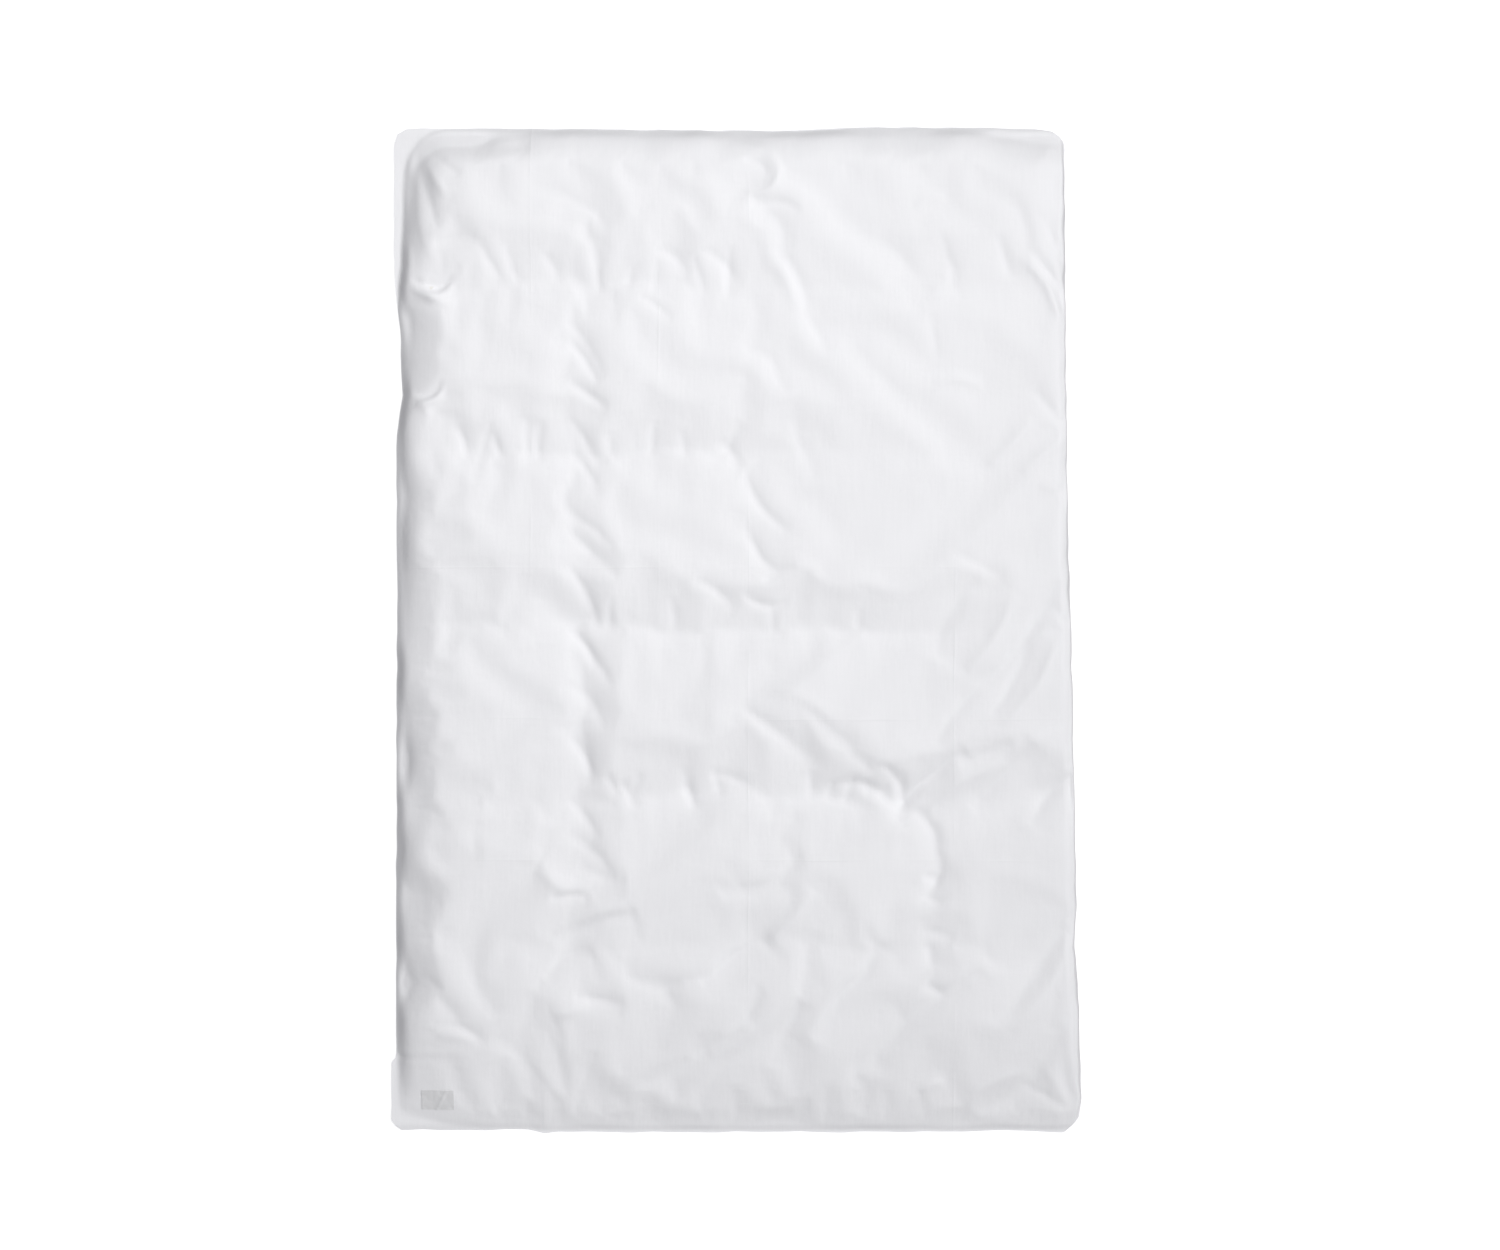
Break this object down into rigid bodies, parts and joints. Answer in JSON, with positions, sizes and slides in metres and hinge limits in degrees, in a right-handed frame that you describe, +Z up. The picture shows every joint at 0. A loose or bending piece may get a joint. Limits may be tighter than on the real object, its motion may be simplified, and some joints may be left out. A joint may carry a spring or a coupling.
{
  "type": "duvet in its cover",
  "caption": "Filled box-stitched duvet in a white cotton cover, lying flat; the head end turns down and the foot mouth opens at its hidden press studs.",
  "frame": {"origin": "under the middle of the cover's bounding box, in the plane it lies on", "axes": "+Z up out of the bed, +Y towards the head end, +X to the right seen from above"},
  "size_m": [1.332, 1.945, 0.0637],
  "materials": {
    "cover_cotton": "matte",
    "casing_cotton": "matte",
    "baffle_cotton": "matte",
    "down_filling": "matte",
    "label_satin": "satin",
    "snap_plastic": "gloss"
  },
  "bodies": {
    "root": {"down_pad_r3_c1": "down_filling", "down_pad_r3_c2": "down_filling", "down_pad_r3_c3": "down_filling", "down_pad_r3_c4": "down_filling", "down_pad_r4_c1": "down_filling", "down_pad_r4_c2": "down_filling", "down_pad_r4_c3": "down_filling", "down_pad_r4_c4": "down_filling", "down_pad_r5_c1": "down_filling", "down_pad_r5_c2": "down_filling", "down_pad_r5_c3": "down_filling", "down_pad_r5_c4": "down_filling", "down_pad_r6_c1": "down_filling", "down_pad_r6_c2": "down_filling", "down_pad_r6_c3": "down_filling", "down_pad_r6_c4": "down_filling", "insert_casing_top": "casing_cotton", "insert_casing_bottom": "casing_cotton", "insert_edge_piping": "casing_cotton", "crosswise_baffle_2": "baffle_cotton", "crosswise_baffle_3": "baffle_cotton", "crosswise_baffle_4": "baffle_cotton", "crosswise_baffle_5": "baffle_cotton", "lengthwise_baffle_1": "baffle_cotton", "lengthwise_baffle_2": "baffle_cotton", "lengthwise_baffle_3": "baffle_cotton", "cover_top_panel": "cover_cotton", "cover_back_panel": "cover_cotton", "mouth_hem_facing": "cover_cotton", "press_stud_1": "snap_plastic", "press_stud_2": "snap_plastic", "press_stud_3": "snap_plastic", "press_stud_4": "snap_plastic", "press_stud_5": "snap_plastic", "woven_label": "label_satin", "care_label": "label_satin"},
    "head_section": {"down_pad_r1_c1": "down_filling", "down_pad_r1_c2": "down_filling", "down_pad_r1_c3": "down_filling", "down_pad_r1_c4": "down_filling", "down_pad_r2_c1": "down_filling", "down_pad_r2_c2": "down_filling", "down_pad_r2_c3": "down_filling", "down_pad_r2_c4": "down_filling", "crosswise_baffle_1": "baffle_cotton"},
    "mouth_flap": {"mouth_hem_band": "cover_cotton", "press_socket_1": "snap_plastic", "press_socket_2": "snap_plastic", "press_socket_3": "snap_plastic", "press_socket_4": "snap_plastic", "press_socket_5": "snap_plastic"}
  },
  "joints": [
    {"name": "head_turn_down", "type": "hinge", "parent": "root", "child": "head_section", "pos_m": [0, 0.33, 0.07], "axis": [1, 0, 0], "range_deg": [0, 180], "deforming": ["cover_top_panel", "cover_back_panel", "insert_casing_top", "insert_casing_bottom", "insert_edge_piping", "lengthwise_baffle_1", "lengthwise_baffle_2", "lengthwise_baffle_3"]},
    {"name": "mouth_open", "type": "hinge", "parent": "root", "child": "mouth_flap", "pos_m": [0, -0.91265, 0.0067], "axis": [-1, 0, 0], "range_deg": [0, 110]}
  ]
}
